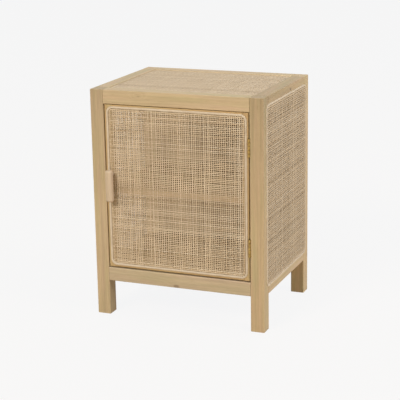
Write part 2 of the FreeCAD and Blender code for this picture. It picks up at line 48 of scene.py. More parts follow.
cameraView = {
    "place": (1.1968, -2.9377, 1.1301),
    "aim": (-0.0046, 0.0, 0.2750),
    "lean": -1.025,  # degrees
    "lens": 115.5,
    "sensor": 36.0,
}


def makeCamera(view):
    data = bpy.data.cameras.new("tableCamera")
    data.lens = view["lens"]
    data.sensor_width = view["sensor"]
    camera = bpy.data.objects.new("tableCamera", data)
    bpy.context.scene.collection.objects.link(camera)
    camera.location = view["place"]
    ahead = Vector(view["aim"]) - Vector(view["place"])
    level = ahead.to_track_quat("-Z", "Y")
    lean = Quaternion((0, 0, 1), math.radians(view["lean"]))
    camera.rotation_mode = "QUATERNION"
    camera.rotation_quaternion = level @ lean
    bpy.context.scene.camera = camera


makeCamera(cameraView)
bpy.context.scene.view_settings.view_transform = "Standard"
print("camera set")

# Small helpers for node trees


def addNode(tree, kind, **settings):
    node = tree.nodes.new(kind)
    for key, value in settings.items():
        setattr(node, key, value)
    return node


def feed(tree, socket, value):
    if isinstance(value, bpy.types.NodeSocket):
        tree.links.new(value, socket)
    else:
        socket.default_value = value


def mathOf(tree, operation, first, second=0.0):
    node = addNode(tree, "ShaderNodeMath", operation=operation)
    feed(tree, node.inputs[0], first)
    feed(tree, node.inputs[1], second)
    return node.outputs[0]


def vectorOf(tree, operation, first, second):
    node = addNode(tree, "ShaderNodeVectorMath", operation=operation)
    feed(tree, node.inputs[0], first)
    feed(tree, node.inputs[1], second)
    return node.outputs["Value" if operation == "LENGTH" else "Vector"]


def noiseOf(tree, vector, look, output="Fac"):
    node = addNode(tree, "ShaderNodeTexNoise")
    feed(tree, node.inputs["Vector"], vectorOf(tree, "MULTIPLY", vector, look["stretch"]))
    feed(tree, node.inputs["Scale"], 1.0)
    feed(tree, node.inputs["Detail"], look["detail"])
    feed(tree, node.inputs["Roughness"], look["rough"])
    return node.outputs[output]


def spread(tree, value, low, high, toLow=0.0, toHigh=1.0, smooth=False):
    node = addNode(tree, "ShaderNodeMapRange", interpolation_type="SMOOTHSTEP" if smooth else "LINEAR")
    feed(tree, node.inputs["Value"], value)
    feed(tree, node.inputs["From Min"], low)
    feed(tree, node.inputs["From Max"], high)
    feed(tree, node.inputs["To Min"], toLow)
    feed(tree, node.inputs["To Max"], toHigh)
    return node.outputs["Result"]


def rampOf(tree, factor, stops):
    node = addNode(tree, "ShaderNodeValToRGB")
    elements = node.color_ramp.elements
    elements[0].position = stops[0][0]
    elements[1].position = stops[-1][0]
    for place, colour in stops[1:-1]:
        elements.new(place)
    for element, (place, colour) in zip(elements, stops):
        element.color = (*colour, 1.0)
    feed(tree, node.inputs["Fac"], factor)
    return node.outputs["Color"]


def mixOf(tree, factor, first, second, blend="MIX"):
    node = addNode(tree, "ShaderNodeMix", data_type="RGBA", blend_type=blend)
    feed(tree, node.inputs["Factor"], factor)
    colourInputs = [s for s in node.inputs if s.type == "RGBA"]
    for socket, value in zip(colourInputs, (first, second)):
        feed(tree, socket, value if isinstance(value, bpy.types.NodeSocket) else (*value, 1.0))
    return [s for s in node.outputs if s.type == "RGBA"][0]


def newGroup(name, inputs, outputs):
    group = bpy.data.node_groups.new(name, "ShaderNodeTree")
    for label, (kind, value) in inputs.items():
        socket = group.interface.new_socket(label, in_out="INPUT", socket_type=kind)
        socket.default_value = value
    for label, kind in outputs.items():
        group.interface.new_socket(label, in_out="OUTPUT", socket_type=kind)
    entry = addNode(group, "NodeGroupInput")
    leave = addNode(group, "NodeGroupOutput")
    return group, entry.outputs, leave.inputs


def useGroup(tree, group, **values):
    node = addNode(tree, "ShaderNodeGroup", node_tree=group)
    for label, value in values.items():
        feed(tree, node.inputs[label], value)
    return node.outputs


def newMaterial(name):
    material = bpy.data.materials.new(name)
    material.use_nodes = True
    tree = material.node_tree
    return material, tree, tree.nodes["Principled BSDF"]


def bumpOf(tree, height, strength, distance):
    node = addNode(tree, "ShaderNodeBump")
    feed(tree, node.inputs["Strength"], strength)
    feed(tree, node.inputs["Distance"], distance)
    feed(tree, node.inputs["Height"], height)
    return node.outputs["Normal"]


def wear(node, material):
    node.data.materials.clear()
    node.data.materials.append(material)


# Stage: pale floor, background and soft light

stageLook = {
    "floorReach": 40.0,
    "floorColour": (0.63, 0.505, 0.36),
    "floorRough": 0.9,
    "floorGloss": 0.1,
    "floorPaper": (0.963, 0.969, 0.978),
    "paperShare": 0.92,  # the rest of the floor's look takes the shadow
    "skyPaper": (0.922, 0.922, 0.922),
    "skyColour": (1.0, 0.98, 0.95),
    "skyLevel": 0.34,
    "skyBehind": 0.90,  # brighter from the back, so that the back is seen too
}
lamps = {
    "keyLamp": {"place": (-1.1, -4.6, 3.7), "size": 1.8, "watts": 190.0, "colour": (1.0, 0.97, 0.93)},
    "fillLamp": {"place": (4.4, -0.5, 2.8), "size": 2.6, "watts": 113.0, "colour": (1.0, 0.98, 0.95)},
}
lampAim = Vector((0.0, 0.0, 0.3))


def seenByEye(tree):
    path = addNode(tree, "ShaderNodeLightPath")
    seen = mathOf(tree, "MAXIMUM", path.outputs["Is Camera Ray"], path.outputs["Is Glossy Ray"])
    return mathOf(tree, "MAXIMUM", seen, path.outputs["Is Transmission Ray"])


def makeFloor(look):
    half = look["floorReach"] / 2
    shape = bmesh.new()
    corners = [shape.verts.new((x * half, y * half, 0)) for x, y in ((-1, -1), (1, -1), (1, 1), (-1, 1))]
    shape.faces.new(corners)
    mesh = bpy.data.meshes.new("paleFloor")
    shape.to_mesh(mesh)
    shape.free()
    floor = bpy.data.objects.new("paleFloor", mesh)
    bpy.context.scene.collection.objects.link(floor)
    material, tree, shader = newMaterial("paleFloor")
    shader.inputs["Base Color"].default_value = (*look["floorColour"], 1.0)
    shader.inputs["Roughness"].default_value = look["floorRough"]
    shader.inputs["Specular IOR Level"].default_value = look["floorGloss"]
    paper = addNode(tree, "ShaderNodeEmission")
    paper.inputs["Color"].default_value = (*look["floorPaper"], 1.0)
    blend = addNode(tree, "ShaderNodeMixShader")
    feed(tree, blend.inputs[0], mathOf(tree, "MULTIPLY", seenByEye(tree), look["paperShare"]))
    tree.links.new(shader.outputs["BSDF"], blend.inputs[1])
    tree.links.new(paper.outputs["Emission"], blend.inputs[2])
    tree.links.new(blend.outputs["Shader"], tree.nodes["Material Output"].inputs["Surface"])
    wear(floor, material)


def makeSky(look):
    world = bpy.data.worlds.new("softSky")
    bpy.context.scene.world = world
    world.use_nodes = True
    tree = world.node_tree
    sky = tree.nodes["Background"]
    sky.inputs["Color"].default_value = (*look["skyColour"], 1.0)
    parts = addNode(tree, "ShaderNodeSeparateXYZ")
    feed(tree, parts.inputs["Vector"], addNode(tree, "ShaderNodeTexCoord").outputs["Generated"])
    level = spread(tree, parts.outputs["Y"], 0.0, 1.0, look["skyLevel"], look["skyBehind"])
    feed(tree, sky.inputs["Strength"], level)
    paper = addNode(tree, "ShaderNodeBackground")
    paper.inputs["Color"].default_value = (*look["skyPaper"], 1.0)
    blend = addNode(tree, "ShaderNodeMixShader")
    feed(tree, blend.inputs[0], seenByEye(tree))
    tree.links.new(sky.outputs["Background"], blend.inputs[1])
    tree.links.new(paper.outputs["Background"], blend.inputs[2])
    tree.links.new(blend.outputs["Shader"], tree.nodes["World Output"].inputs["Surface"])


def hangLamp(name, lamp):
    data = bpy.data.lights.new(name, "AREA")
    data.shape = "DISK"
    data.size = lamp["size"]
    data.energy = lamp["watts"]
    data.color = lamp["colour"]
    light = bpy.data.objects.new(name, data)
    bpy.context.scene.collection.objects.link(light)
    light.location = lamp["place"]
    light.rotation_mode = "QUATERNION"
    light.rotation_quaternion = (lampAim - Vector(lamp["place"])).to_track_quat("-Z", "Y")


makeFloor(stageLook)
makeSky(stageLook)
for lampName, lamp in lamps.items():
    hangLamp(lampName, lamp)
print("stage lit with", len(lamps), "lamps")

# Wood: growth rings, fibres, pores and the odd knot, with the grain along Z of the vector given

woodFigure = {  # a span is the part of a noise or a ring that counts
    "bend": {"stretch": (34.0, 34.0, 3.4), "detail": 3.0, "rough": 0.5},
    "sway": 0.0085,
    "drift": {"stretch": (9.0, 9.0, 1.6), "detail": 2.0, "rough": 0.5},
    "driftTurns": 1.6,
    "earlySpan": (0.05, 0.8),
    "lateSpan": (0.86, 1.0),
    "ringDepth": 0.35,
    "fibre": {"stretch": (950.0, 950.0, 22.0), "detail": 2.0, "rough": 0.6},
    "fibreSpan": (0.25, 0.75),
    "roughSpan": (0.2, 0.8),
    "pores": {"stretch": (1500.0, 1500.0, 46.0), "detail": 1.0, "rough": 0.5},
    "poreSpan": (0.60, 0.70),
    "poreDepth": 0.7,
    "mottle": {"stretch": (60.0, 60.0, 5.0), "detail": 2.0, "rough": 0.5},
    "streak": {"stretch": (150.0, 150.0, 4.5), "detail": 3.0, "rough": 0.6},
    "blotchSpan": (0.3, 0.7),
    "farKnot": (9.0, 9.0, 9.0),  # for a piece without one
    "knotSize": 0.004,
    "knotSquash": (1.0, 1.0, 0.55),
    "heartSpan": (0.35, 1.0),
    "swirlSpan": (0.0, 5.0),
    "swirlTurns": 2.2,
}


def makeWoodGroup(figure):
    group, given, out = newGroup(
        "woodGrain",
        {
            "Vector": ("NodeSocketVector", (0.0, 0.0, 0.0)),
            "Ring Width": ("NodeSocketFloat", 1.0),
            "Knot": ("NodeSocketVector", figure["farKnot"]),
            "Knot Size": ("NodeSocketFloat", figure["knotSize"]),
        },
        {
            "Growth": "NodeSocketFloat",
            "Fibre": "NodeSocketFloat",
            "Pores": "NodeSocketFloat",
            "Mottle": "NodeSocketFloat",
            "Streak": "NodeSocketFloat",
            "Heart": "NodeSocketFloat",
            "Height": "NodeSocketFloat",
        },
    )
    spot = given["Vector"]
    bend = noiseOf(group, spot, figure["bend"], "Color")
    bend = vectorOf(group, "SUBTRACT", bend, (0.5, 0.5, 0.5))
    bend = vectorOf(group, "MULTIPLY", bend, (figure["sway"],) * 3)
    bent = vectorOf(group, "ADD", spot, bend)
    flat = vectorOf(group, "MULTIPLY", bent, (1.0, 1.0, 0.0))
    radius = vectorOf(group, "LENGTH", flat, (0.0, 0.0, 0.0))
    turns = mathOf(group, "DIVIDE", radius, given["Ring Width"])
    drift = noiseOf(group, spot, figure["drift"])
    turns = mathOf(group, "ADD", turns, mathOf(group, "MULTIPLY", drift, figure["driftTurns"]))
    away = vectorOf(group, "SUBTRACT", spot, given["Knot"])
    away = vectorOf(group, "MULTIPLY", away, figure["knotSquash"])
    away = vectorOf(group, "LENGTH", away, (0.0, 0.0, 0.0))
    away = mathOf(group, "DIVIDE", away, given["Knot Size"])
    heart = spread(group, away, *figure["heartSpan"], 1.0, 0.0, smooth=True)
    swirl = spread(group, away, *figure["swirlSpan"], figure["swirlTurns"], 0.0, smooth=True)
    turns = mathOf(group, "ADD", turns, swirl)
    band = mathOf(group, "FRACT", turns)
    early = spread(group, band, *figure["earlySpan"], smooth=True)
    late = spread(group, band, *figure["lateSpan"], 1.0, 0.0, smooth=True)
    growth = mathOf(group, "MULTIPLY", early, late)
    fibre = noiseOf(group, bent, figure["fibre"])
    pores = spread(group, noiseOf(group, bent, figure["pores"]), *figure["poreSpan"], smooth=True)
    mottle = spread(group, noiseOf(group, spot, figure["mottle"]), *figure["blotchSpan"])
    streak = spread(group, noiseOf(group, bent, figure["streak"]), *figure["blotchSpan"])
    height = mathOf(group, "SUBTRACT", fibre, mathOf(group, "MULTIPLY", pores, figure["poreDepth"]))
    height = mathOf(group, "SUBTRACT", height, mathOf(group, "MULTIPLY", growth, figure["ringDepth"]))
    for label, value in (
        ("Growth", growth),
        ("Fibre", fibre),
        ("Pores", pores),
        ("Mottle", mottle),
        ("Streak", streak),
        ("Heart", heart),
        ("Height", height),
    ):
        feed(group, out[label], value)
    return group


woodGroup = makeWoodGroup(woodFigure)

grainTurns = {  # turns the piece's length to Z
    "x": (0.0, math.pi / 2, 0.0),
    "y": (math.pi / 2, 0.0, 0.0),
    "z": (0.0, 0.0, 0.0),
}
frameWood = {
    "pale": (0.598, 0.464, 0.276),
    "late": (0.482, 0.350, 0.186),
    "rosy": (0.611, 0.445, 0.294),
    "olive": (0.530, 0.447, 0.242),
    "poreColour": (0.36, 0.235, 0.115),
    "knotColour": (0.19, 0.120, 0.065),
    "ringWidth": 0.0052,
    "growthShare": 0.55,
    "tintShare": 0.65,
    "streakRange": (1.11, 0.87),
    "fibreRange": (0.94, 1.06),
    "poreShare": 0.30,
    "rough": (0.42, 0.60),
    "gloss": 0.25,
    "bump": 0.22,
    "bumpDepth": 0.0003,
}
panelWood = dict(frameWood)
panelWood.update({
    "pale": (0.605, 0.432, 0.230),
    "late": (0.49, 0.328, 0.155),
    "rosy": (0.62, 0.420, 0.225),
    "olive": (0.57, 0.415, 0.205),
    "tintShare": 0.4,
    "ringWidth": 0.0085,
    "growthShare": 0.5,
    "bump": 0.15,
})
doorWood = dict(frameWood)
doorWood.update({
    "pale": (0.555, 0.385, 0.182),
    "late": (0.450, 0.290, 0.120),
    "rosy": (0.545, 0.368, 0.182),
})
goldWood = dict(frameWood)
goldWood.update({
    "pale": (0.606, 0.459, 0.264),
    "late": (0.490, 0.346, 0.177),
    "rosy": (0.620, 0.440, 0.279),
})
ashenWood = dict(frameWood)
ashenWood.update({
    "pale": (0.588, 0.469, 0.305),
    "late": (0.475, 0.355, 0.208),
    "rosy": (0.601, 0.451, 0.321),
    "olive": (0.525, 0.449, 0.269),
})
handleWood = dict(frameWood)
handleWood.update({
    "pale": (0.60, 0.475, 0.340),
    "late": (0.51, 0.385, 0.255),
    "rosy": (0.60, 0.455, 0.340),
    "olive": (0.57, 0.455, 0.310),
    "ringWidth": 0.0036,
    "growthShare": 0.4,
})


def woodMaterial(name, look, grain, cut, tones, knot=None):
    # cut is where in the log the middle of the piece was sawn from, tones how pale it is from end to end,
    # which on the front legs is painted shade at both ends
    material, tree, shader = newMaterial(name)
    low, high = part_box(name)
    turn = Matrix.Identity(3)
    for angle, axis in zip(grainTurns[grain], "XYZ"):
        turn = Matrix.Rotation(angle, 3, axis) @ turn
    shift = Vector(cut) - turn @ ((low + high) / 2)
    coords = addNode(tree, "ShaderNodeTexCoord").outputs["Object"]
    mapping = addNode(tree, "ShaderNodeMapping")
    feed(tree, mapping.inputs["Vector"], coords)
    feed(tree, mapping.inputs["Rotation"], grainTurns[grain])
    feed(tree, mapping.inputs["Location"], shift)
    values = {"Vector": mapping.outputs["Vector"], "Ring Width": look["ringWidth"]}
    if knot:
        spot = [start + (end - start) * share for start, end, share in zip(low, high, knot["shares"])]
        values["Knot"] = turn @ Vector(spot) + shift
        values["Knot Size"] = knot["size"]
    grainOut = useGroup(tree, woodGroup, **values)
    growth = mathOf(tree, "MULTIPLY", grainOut["Growth"], look["growthShare"])
    body = mixOf(tree, growth, look["pale"], look["late"])
    stops = ((0.0, look["olive"]), (0.5, look["pale"]), (1.0, look["rosy"]))
    body = mixOf(tree, look["tintShare"], body, rampOf(tree, grainOut["Mottle"], stops))
    streak = spread(tree, grainOut["Streak"], 0.0, 1.0, *look["streakRange"])
    body = mixOf(tree, 1.0, body, streak, "MULTIPLY")
    fibre = spread(tree, grainOut["Fibre"], *woodFigure["fibreSpan"], *look["fibreRange"])
    body = mixOf(tree, 1.0, body, fibre, "MULTIPLY")
    pores = mathOf(tree, "MULTIPLY", grainOut["Pores"], look["poreShare"])
    body = mixOf(tree, pores, body, look["poreColour"])
    if knot:
        heart = mathOf(tree, "MULTIPLY", grainOut["Heart"], knot["dark"])
        body = mixOf(tree, heart, body, look["knotColour"])
    axis = "xyz".index(grain)
    parts = addNode(tree, "ShaderNodeSeparateXYZ")
    feed(tree, parts.inputs["Vector"], coords)
    middle = (low[axis] + high[axis]) / 2
    firstHalf = spread(tree, parts.outputs[axis], low[axis], middle, tones[0], tones[1])
    body = mixOf(tree, 1.0, body, firstHalf, "MULTIPLY")
    secondHalf = spread(tree, parts.outputs[axis], middle, high[axis], 1.0, tones[2] / tones[1])
    body = mixOf(tree, 1.0, body, secondHalf, "MULTIPLY")
    feed(tree, shader.inputs["Base Color"], body)
    rough = spread(tree, grainOut["Fibre"], *woodFigure["roughSpan"], *look["rough"])
    feed(tree, shader.inputs["Roughness"], rough)
    feed(tree, shader.inputs["Specular IOR Level"], look["gloss"])
    feed(tree, shader.inputs["Normal"], bumpOf(tree, grainOut["Height"], look["bump"], look["bumpDepth"]))
    return material


woodPieces = {  # a knot's shares are its place in the piece's box
    # painted shade: the front legs' tones darken both ends of each leg, the upper end most
    "front_left_leg": {"grain": "z", "cut": (0.055, 0.020, 0.3), "tones": (0.89, 0.93, 0.76)},
    "front_right_leg": {"grain": "z", "cut": (0.040, 0.070, 1.2), "look": goldWood,
                        "tones": (0.93, 0.92, 0.72)},
    "back_left_leg": {"grain": "z", "cut": (-0.060, 0.030, 2.4), "look": goldWood, "tone": 0.98},
    "back_right_leg": {"grain": "z", "cut": (0.075, -0.02, 3.1), "look": goldWood, "tone": 1.0},
    "front_top_rail": {"grain": "x", "cut": (0.02, 0.085, 4.0), "tones": (0.96, 0.98, 0.98),
                       "knot": {"shares": (0.25, 0.0, 0.657), "size": 0.003, "dark": 0.25}},
    "back_top_rail": {"grain": "x", "cut": (0.06, -0.05, 5.2), "tone": 1.02},
    "left_top_rail": {"grain": "y", "cut": (-0.05, 0.06, 6.1), "tones": (0.97, 0.95, 0.95)},
    "right_top_rail": {"grain": "y", "cut": (0.07, 0.03, 7.3), "look": goldWood,
                       "tones": (0.75, 0.78, 0.82),
                       "knot": {"shares": (1.0, 0.6018, 0.629), "size": 0.005, "dark": 0.7}},
    "front_bottom_rail": {"grain": "x", "cut": (0.05, 0.04, 8.4), "look": ashenWood, "tone": 0.94,
                          "knot": {"shares": (0.4842, 0.0, 0.114), "size": 0.006, "dark": 0.6}},
    "back_bottom_rail": {"grain": "x", "cut": (-0.07, 0.02, 9.2), "tone": 0.99},
    "left_bottom_rail": {"grain": "y", "cut": (0.03, -0.08, 10.5), "tone": 1.0},
    "right_bottom_rail": {"grain": "y", "cut": (0.08, 0.05, 11.4), "tone": 1.0},
    "door_left_stile": {"grain": "z", "cut": (0.045, 0.05, 12.6), "look": doorWood, "tone": 0.98},
    "door_right_stile": {"grain": "z", "cut": (-0.065, 0.04, 13.3), "look": doorWood, "tone": 0.98},
    "door_top_rail": {"grain": "x", "cut": (0.07, -0.04, 14.7), "look": doorWood, "tone": 0.99},
    "door_bottom_rail": {"grain": "x", "cut": (0.05, 0.065, 15.2), "look": doorWood, "tone": 0.99},
    "left_top_cleat": {"grain": "y", "cut": (0.05, 0.03, 16.1), "tone": 0.97},
    "right_top_cleat": {"grain": "y", "cut": (0.03, 0.06, 17.5), "tone": 0.98},
    "left_floor_cleat": {"grain": "y", "cut": (-0.04, 0.05, 18.2), "tone": 0.97},
    "right_floor_cleat": {"grain": "y", "cut": (0.06, 0.02, 19.6), "tone": 0.98},
    "frame_dowels": {"grain": "x", "cut": (0.05, 0.05, 20.4), "tone": 0.95},
    "door_dowels": {"grain": "x", "cut": (0.03, 0.04, 21.7), "tone": 0.95},
    "top_board": {"grain": "x", "cut": (0.03, 0.24, 22.5), "look": panelWood, "tone": 0.98},
    "floor_board": {"grain": "x", "cut": (0.06, 0.21, 23.8), "look": panelWood, "tone": 1.04},
    "shelf": {"grain": "x", "cut": (-0.05, 0.19, 24.4), "look": panelWood, "tone": 1.02},
    # painted shade: the back panel's low tone darkens the inside seen through the cane
    "back_panel": {"grain": "z", "cut": (0.09, 0.26, 25.9), "look": panelWood, "tone": 0.62},
    "handle_bar": {"grain": "z", "cut": (0.02, 0.05, 26.3), "look": handleWood,
                   "tones": (1.02, 1.04, 1.08)},
    "handle_upper_post": {"grain": "y", "cut": (0.02, 0.03, 27.1), "look": handleWood, "tone": 0.98},
    "handle_lower_post": {"grain": "y", "cut": (0.03, 0.02, 28.6), "look": handleWood, "tone": 0.98},
}
for pieceName, wood in woodPieces.items():
    look = wood.get("look", frameWood)
    tones = wood["tones"] if "tones" in wood else (wood["tone"],) * 3
    made = woodMaterial(pieceName, look, wood["grain"], wood["cut"], tones, wood.get("knot"))
    wear(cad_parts[pieceName], made)
print("wood on", len(woodPieces), "pieces")

# Reed: fibres and blotches that the cane and its spline share

reedFigure = {
    "blotch": {"detail": 3.0, "rough": 0.5},
    "blotchSpan": (0.28, 0.72),
    "fibre": {"detail": 2.0, "rough": 0.6},
    "fibreSpan": (0.25, 0.75),
}


def makeReedGroup(figure):
    group, given, out = newGroup(
        "reedFibre",
        {
            "Vector": ("NodeSocketVector", (0.0, 0.0, 0.0)),
            "Blotch Stretch": ("NodeSocketVector", (1.0, 1.0, 1.0)),
            "Fibre Stretch": ("NodeSocketVector", (1.0, 1.0, 1.0)),
        },
        {"Blotch": "NodeSocketFloat", "Fibre": "NodeSocketFloat"},
    )
    blotch = noiseOf(group, given["Vector"], dict(figure["blotch"], stretch=given["Blotch Stretch"]))
    fibre = noiseOf(group, given["Vector"], dict(figure["fibre"], stretch=given["Fibre Stretch"]))
    feed(group, out["Blotch"], spread(group, blotch, *figure["blotchSpan"]))
    feed(group, out["Fibre"], spread(group, fibre, *figure["fibreSpan"]))
    return group


reedGroup = makeReedGroup(reedFigure)


def reedOn(tree, vector, look):
    stretches = {"Blotch Stretch": look["blotchStretch"], "Fibre Stretch": look["fibreStretch"]}
    return useGroup(tree, reedGroup, Vector=vector, **stretches)


caneLook = {
    "tones": (
        (0.0, (0.40, 0.278, 0.154)),
        (0.22, (0.57, 0.431, 0.270)),
        (0.6, (0.68, 0.538, 0.361)),
        (1.0, (0.77, 0.643, 0.467)),
    ),
    "blotchStretch": (38.0, 1.0, 0.4),
    "blotchShift": 0.16,
    "fibreStretch": (90.0, 3.0, 5.0),
    "shade": (0.86, 1.10),
    "rough": (0.38, 0.58),
    "bump": 0.25,
    "bumpDepth": 0.0002,
}


def caneMaterial(name, look, tone=1.0):
    material, tree, shader = newMaterial(name)
    strand = addNode(tree, "ShaderNodeAttribute", attribute_name="strandTone").outputs["Fac"]
    run = addNode(tree, "ShaderNodeAttribute", attribute_name="strandRun").outputs["Vector"]
    reed = reedOn(tree, run, look)
    stops = [(place, tuple(part * tone for part in colour)) for place, colour in look["tones"]]
    shift = spread(tree, reed["Blotch"], 0.0, 1.0, -look["blotchShift"], look["blotchShift"])
    body = rampOf(tree, mathOf(tree, "ADD", strand, shift), stops)
    shade = spread(tree, reed["Fibre"], 0.0, 1.0, *look["shade"])
    feed(tree, shader.inputs["Base Color"], mixOf(tree, 1.0, body, shade, "MULTIPLY"))
    feed(tree, shader.inputs["Roughness"], spread(tree, reed["Fibre"], 0.0, 1.0, *look["rough"]))
    feed(tree, shader.inputs["Normal"], bumpOf(tree, reed["Fibre"], look["bump"], look["bumpDepth"]))
    return material


splineLook = {
    "tones": ((0.0, (0.56, 0.445, 0.305)), (0.5, (0.64, 0.530, 0.385)), (1.0, (0.71, 0.610, 0.465))),
    "blotchStretch": (45.0, 45.0, 45.0),
    "fibreStretch": (700.0, 700.0, 700.0),
    "fibreShare": 0.3,
    "rough": (0.40, 0.56),
    "bump": 0.2,
    "bumpDepth": 0.0002,
}


def splineMaterial(name, look):
    material, tree, shader = newMaterial(name)
    coords = addNode(tree, "ShaderNodeTexCoord").outputs["Object"]
    reed = reedOn(tree, coords, look)
    fibre = mathOf(tree, "MULTIPLY", reed["Fibre"], look["fibreShare"])
    blotch = mathOf(tree, "MULTIPLY", reed["Blotch"], 1.0 - look["fibreShare"])
    factor = mathOf(tree, "ADD", blotch, fibre)
    feed(tree, shader.inputs["Base Color"], rampOf(tree, factor, look["tones"]))
    feed(tree, shader.inputs["Roughness"], spread(tree, reed["Fibre"], 0.0, 1.0, *look["rough"]))
    feed(tree, shader.inputs["Normal"], bumpOf(tree, reed["Fibre"], look["bump"], look["bumpDepth"]))
    return material


splineReed = splineMaterial("splineReed", splineLook)
for splineName in ("door_spline", "left_spline", "right_spline"):
    wear(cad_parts[splineName], splineReed)

# Woven cane: flat strands over and under each other, turned down behind the spline at their ends

caneWeave = {
    "strandThick": 0.00042,
    "lift": 0.00026,
    "flatShare": 0.24,  # how much of the pitch a strand lies flat before and after each crossing
    "widthSpread": 0.15,
    "leastWidth": 0.7,
    "middleTone": 0.5,
    "phaseReach": 300.0,
    "setSpread": 0.00034,
    "sway": 0.00055,
    "swayStep": 0.045,
    "closeStep": 0.030,  # how far apart tight and loose spots are
    "sheetThick": 0.001,
    "edgeRoom": 0.0006,
    "endRoom": 0.0014,
    "profile": ((-0.5, 0.0), (-0.3, 0.5), (0.3, 0.5), (0.5, 0.0), (0.3, -0.5), (-0.3, -0.5)),
}
canePanels = {  # pitch, share of the pitch that a strand takes, and spread of tone: uprights, then crossers
    "door_cane": {
        "node": "door_webbing", "body": "door", "across": (1, 0, 0), "up": (0, 0, 1), "out": (0, -1, 0),
        "corner": 0.011, "tuck": 0.004, "seed": 21, "layer": 77.5, "start": 0.15,
        "tone": 1.05, "fade": 0.14, "close": 0.20, "slack": 0.17,
        "pitch": (0.00513, 0.00455), "share": (0.485, 0.485), "spread": (0.19, 0.19),
    },
    "right_cane": {
        "node": "right_webbing", "body": "cabinet", "across": (0, 1, 0), "up": (0, 0, 1), "out": (1, 0, 0),
        "corner": 0.011, "tuck": 0.004, "seed": 34, "layer": 34.0, "start": 0.0,
        "tone": 0.92, "fade": 0.0, "close": 0.08, "slack": 0.0,
        "pitch": (0.00466, 0.00520), "share": (0.59, 0.68), "spread": (0.11, 0.15),
    },
    "left_cane": {
        "node": "left_webbing", "body": "cabinet", "across": (0, -1, 0), "up": (0, 0, 1), "out": (-1, 0, 0),
        "corner": 0.011, "tuck": 0.004, "seed": 47, "layer": 47.0, "start": 0.0,
        "tone": 0.98, "fade": 0.0, "close": 0.08, "slack": 0.0,
        "pitch": (0.00466, 0.00520), "share": (0.59, 0.68), "spread": (0.11, 0.15),
    },
    "top_cane": {
        "node": "top_webbing", "body": "cabinet", "across": (1, 0, 0), "up": (0, 1, 0), "out": (0, 0, 1),
        "corner": 0.0, "tuck": 0.0, "seed": 58, "layer": 58.0, "start": 0.0,
        "tone": 1.0, "fade": 0.0, "close": 0.18, "slack": 0.0,
        "pitch": (0.00520, 0.00460), "share": (0.66, 0.74), "spread": (0.08, 0.20),
    },
}


def strandSet(rng, length, panel, way, start, weave):
    count = round(length / panel["pitch"][way])
    step = length / count
    strands = []
    for number in range(count):
        offset = rng.gauss(0.0, weave["setSpread"])
        factor = max(weave["leastWidth"], rng.gauss(1.0, weave["widthSpread"]))
        strands.append({
            "number": number,
            "set": (number + 0.5 + start) * step - length / 2 + offset,
            "wide": panel["share"][way] * step * factor,
            "tone": min(1.0, max(0.0, rng.gauss(weave["middleTone"], panel["spread"][way]))),
            "phase": rng.uniform(0.0, weave["phaseReach"]),
        })
    return strands, step


def swayAt(strand, run, weave):
    return weave["sway"] * noise.noise(Vector((run / weave["swayStep"], strand["phase"], 0.0)))


def halfReach(half, crossHalf, corner, beside):
    # How far a strand runs from the middle line before it meets the rounded outline
    inner = crossHalf - corner
    if corner <= 0.0 or abs(beside) <= inner:
        return half
    step = min(abs(beside) - inner, corner)
    return half - corner + math.sqrt(corner * corner - step * step)


def strandPath(strand, crossings, half, tuck, weave, over):
    # Points along the strand: how far it has run and how far out it stands
    path = []
    end = half - weave["edgeRoom"]
    if tuck:
        path.append((-end, -tuck))
        path.append((-end, -weave["strandThick"]))
    path.append((-end + (weave["endRoom"] if tuck else 0.0), 0.0))
    for crossing, run, flat in crossings:
        if abs(run) > end - weave["endRoom"] - flat:
            continue
        lift = weave["lift"] if (strand["number"] + crossing["number"]) % 2 == over else -weave["lift"]
        path.append((run - flat, lift))
        path.append((run + flat, lift))
    path.append((end - (weave["endRoom"] if tuck else 0.0), 0.0))
    if tuck:
        path.append((end, -weave["strandThick"]))
        path.append((end, -tuck))
    return path


def addStrand(build, strand, path, place, weave, lookAt):
    # Rings of the flat profile along the path, closed at both ends
    rings = []
    for index, (run, out) in enumerate(path):
        before = path[max(index - 1, 0)]
        after = path[min(index + 1, len(path) - 1)]
        ahead = Vector((after[0] - before[0], after[1] - before[1])).normalized()
        beside = strand["set"] + swayAt(strand, run, weave)
        wideFactor, paler = lookAt(beside, run)
        wide = strand["wide"] * wideFactor
        ring = []
        for side, rise in weave["profile"]:
            thick = rise * weave["strandThick"]
            ring.append(len(build["points"]))
            point = place(beside + side * wide, run - ahead.y * thick, out + ahead.x * thick)
            build["points"].append(point)
            build["tones"].append(strand["tone"] + paler)
            build["runs"].extend((run, strand["phase"], side + rise))
        rings.append(ring)
    sides = len(weave["profile"])
    for first, second in zip(rings, rings[1:]):
        for corner in range(sides):
            following = (corner + 1) % sides
            build["faces"].append((first[corner], second[corner], second[following], first[following]))
    build["faces"].append(tuple(rings[0]))
    build["faces"].append(tuple(reversed(rings[-1])))


def strandPiece(name, build, material, panel):
    mesh = bpy.data.meshes.new(name)
    mesh.from_pydata(build["points"], [], build["faces"])
    tones = mesh.attributes.new("strandTone", "FLOAT", "POINT")
    tones.data.foreach_set("value", build["tones"])
    runs = mesh.attributes.new("strandRun", "FLOAT_VECTOR", "POINT")
    runs.data.foreach_set("vector", build["runs"])
    shape = bmesh.new()
    shape.from_mesh(mesh)
    bmesh.ops.recalc_face_normals(shape, faces=shape.faces)
    shape.to_mesh(mesh)
    shape.free()
    mesh.shade_smooth()
    piece = bpy.data.objects.new(name, mesh)
    bpy.context.scene.collection.objects.link(piece)
    wear(piece, material)
    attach(piece, panel["body"])
    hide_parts(panel["node"])
    return piece


